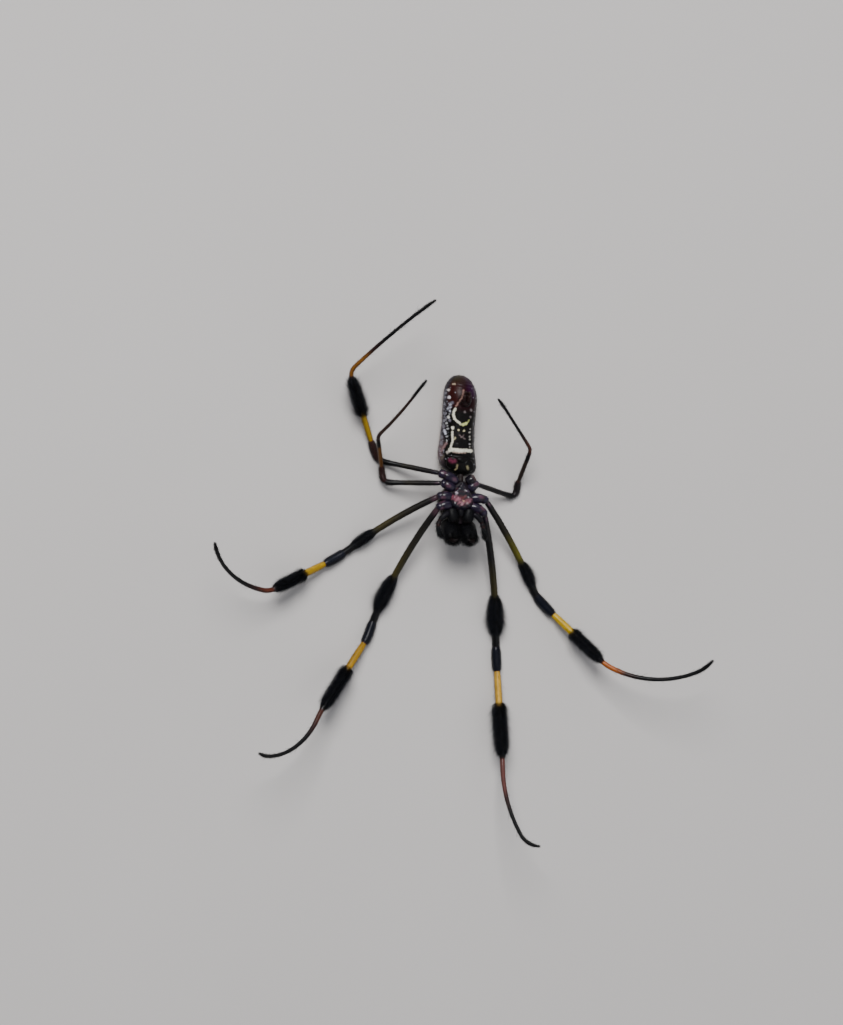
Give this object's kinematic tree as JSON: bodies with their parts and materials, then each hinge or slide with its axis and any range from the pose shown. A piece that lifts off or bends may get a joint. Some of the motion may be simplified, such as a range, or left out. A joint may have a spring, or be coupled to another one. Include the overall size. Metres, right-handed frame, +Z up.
{
  "type": "golden silk orb weaver spider",
  "caption": "Life-size still model of a female golden silk orb weaver lying on her back, belly up, with bristly leg brushes and the right hind leg lost at the coxa.",
  "frame": {"origin": "on the floor, under the centre of the spider's bounding box as she lies on her back", "axes": "+Z up from the floor towards the belly side, -Y towards the head, +X towards the spider's right side"},
  "size_m": [0.0998, 0.0998, 0.0178],
  "materials": {
    "carapace": "silvery down over dark brown",
    "sternum": "satin, pink-red patches on black",
    "chelicerae": "glossy black",
    "fangs": "glossy dark red-brown",
    "mouthparts": "satin black-brown",
    "palps": "satin, finely haired",
    "coxae": "satin dark purple-brown",
    "abdomen": "satin dark maroon with cream marks",
    "spinnerets": "matt red-brown",
    "femora": "satin dark olive-brown",
    "patellae": "glossy blue-black",
    "tibiae": "satin yellow-ochre with a black brush",
    "metatarsi": "satin orange-brown to black",
    "tarsi": "satin black"
  },
  "bodies": {
    "root": {"carapace": "carapace", "sternum": "sternum", "chelicera_left": "chelicerae", "chelicera_right": "chelicerae", "fang_left": "fangs", "fang_right": "fangs", "maxilla_left": "mouthparts", "maxilla_right": "mouthparts", "labium": "mouthparts", "palp_left": "palps", "palp_right": "palps", "pedicel": "coxae", "abdomen": "abdomen", "spinnerets": "spinnerets", "leg_left_1_coxa": "coxae", "leg_left_1_femur": "femora", "leg_left_1_patella": "patellae", "leg_left_1_tibia": "tibiae", "leg_left_1_metatarsus": "metatarsi", "leg_left_1_tarsus": "tarsi", "leg_left_2_coxa": "coxae", "leg_left_2_femur": "femora", "leg_left_2_patella": "patellae", "leg_left_2_tibia": "tibiae", "leg_left_2_metatarsus": "metatarsi", "leg_left_2_tarsus": "tarsi", "leg_left_3_coxa": "coxae", "leg_left_3_femur": "femora", "leg_left_3_patella": "patellae", "leg_left_3_tibia": "tibiae", "leg_left_3_metatarsus": "metatarsi", "leg_left_3_tarsus": "tarsi", "leg_left_4_coxa": "coxae", "leg_left_4_femur": "femora", "leg_left_4_patella": "patellae", "leg_left_4_tibia": "tibiae", "leg_left_4_metatarsus": "metatarsi", "leg_left_4_tarsus": "tarsi", "leg_right_1_coxa": "coxae", "leg_right_1_femur": "femora", "leg_right_1_patella": "patellae", "leg_right_1_tibia": "tibiae", "leg_right_1_metatarsus": "metatarsi", "leg_right_1_tarsus": "tarsi", "leg_right_2_coxa": "coxae", "leg_right_2_femur": "femora", "leg_right_2_patella": "patellae", "leg_right_2_tibia": "tibiae", "leg_right_2_metatarsus": "metatarsi", "leg_right_2_tarsus": "tarsi", "leg_right_3_coxa": "coxae", "leg_right_3_femur": "femora", "leg_right_3_patella": "patellae", "leg_right_3_tibia": "tibiae", "leg_right_3_metatarsus": "metatarsi", "leg_right_3_tarsus": "tarsi", "leg_right_4_coxa": "coxae"}
  },
  "joints": []
}
